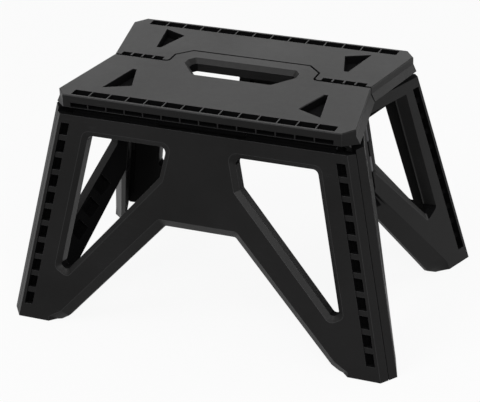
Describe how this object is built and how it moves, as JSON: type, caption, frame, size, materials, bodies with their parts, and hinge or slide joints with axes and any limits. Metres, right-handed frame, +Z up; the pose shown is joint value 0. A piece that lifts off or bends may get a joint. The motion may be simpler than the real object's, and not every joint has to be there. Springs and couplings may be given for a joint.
{
  "type": "folding step stool",
  "caption": "Low folding stool of moulded black panels: a two-part seat with a hand slot on splayed legs whose hinged ends fold inward between them.",
  "frame": {"origin": "on the floor, under the centre of the overall box", "axes": "+X along the seat's length, +Y from the front leg to the rear leg, +Z up"},
  "size_m": [0.3876, 0.2622, 0.225],
  "materials": {
    "panel_plastic": "fine moulded texture, black",
    "rod_steel": "blackened hinge rod"
  },
  "bodies": {
    "front_leg": {"front_leg": "panel_plastic", "front_seat_rod_right": "rod_steel", "front_seat_rod_left": "rod_steel", "right_front_corner_rod": "rod_steel", "left_front_corner_rod": "rod_steel"},
    "seat_front": {"seat_front": "panel_plastic", "centre_rod_right": "rod_steel", "centre_rod_left": "rod_steel"},
    "seat_rear": {"seat_rear": "panel_plastic"},
    "rear_leg": {"rear_leg": "panel_plastic", "rear_seat_rod_right": "rod_steel", "rear_seat_rod_left": "rod_steel", "right_rear_corner_rod": "rod_steel", "left_rear_corner_rod": "rod_steel"},
    "right_front_end": {"right_front_end": "panel_plastic", "right_fold_rod": "rod_steel"},
    "left_front_end": {"left_front_end": "panel_plastic", "left_fold_rod": "rod_steel"},
    "right_rear_end": {"right_rear_end": "panel_plastic"},
    "left_rear_end": {"left_rear_end": "panel_plastic"}
  },
  "joints": [
    {"name": "seat_fold", "type": "hinge", "parent": "front_leg", "child": "seat_front", "pos_m": [0, -0.08704, 0.20627], "axis": [1, 0, 0], "range_deg": [0, 65.44]},
    {"name": "centre_hinge", "type": "hinge", "parent": "seat_front", "child": "seat_rear", "pos_m": [0, 0, 0.206], "axis": [-1, 0, 0], "range_deg": [0, 151.44]},
    {"name": "rear_leg_hinge", "type": "hinge", "parent": "seat_rear", "child": "rear_leg", "pos_m": [0, 0.08704, 0.20627], "axis": [1, 0, 0], "range_deg": [0, 65.46]},
    {"name": "right_front_corner", "type": "hinge", "parent": "front_leg", "child": "right_front_end", "pos_m": [0.17986, -0.11555, 0], "axis": [-0.2019, 0.1745, 0.9637], "range_deg": [0, 71.67]},
    {"name": "left_front_corner", "type": "hinge", "parent": "front_leg", "child": "left_front_end", "pos_m": [-0.17986, -0.11555, 0], "axis": [-0.2019, -0.1745, -0.9637], "range_deg": [0, 71.67]},
    {"name": "right_rear_corner", "type": "hinge", "parent": "rear_leg", "child": "right_rear_end", "pos_m": [0.17986, 0.11555, 0], "axis": [0.2019, 0.1745, -0.9637], "range_deg": [0, 71.67]},
    {"name": "left_rear_corner", "type": "hinge", "parent": "rear_leg", "child": "left_rear_end", "pos_m": [-0.17986, 0.11555, 0], "axis": [0.2019, -0.1745, 0.9637], "range_deg": [0, 71.67]}
  ],
  "couplings": [
    {"joint": "centre_hinge", "follows": "seat_fold", "ratio": 2.3137},
    {"joint": "rear_leg_hinge", "follows": "seat_fold", "ratio": 1},
    {"joint": "right_front_corner", "follows": "seat_fold", "ratio": 1.0948},
    {"joint": "left_front_corner", "follows": "seat_fold", "ratio": 1.0948},
    {"joint": "right_rear_corner", "follows": "seat_fold", "ratio": 1.0948},
    {"joint": "left_rear_corner", "follows": "seat_fold", "ratio": 1.0948}
  ]
}
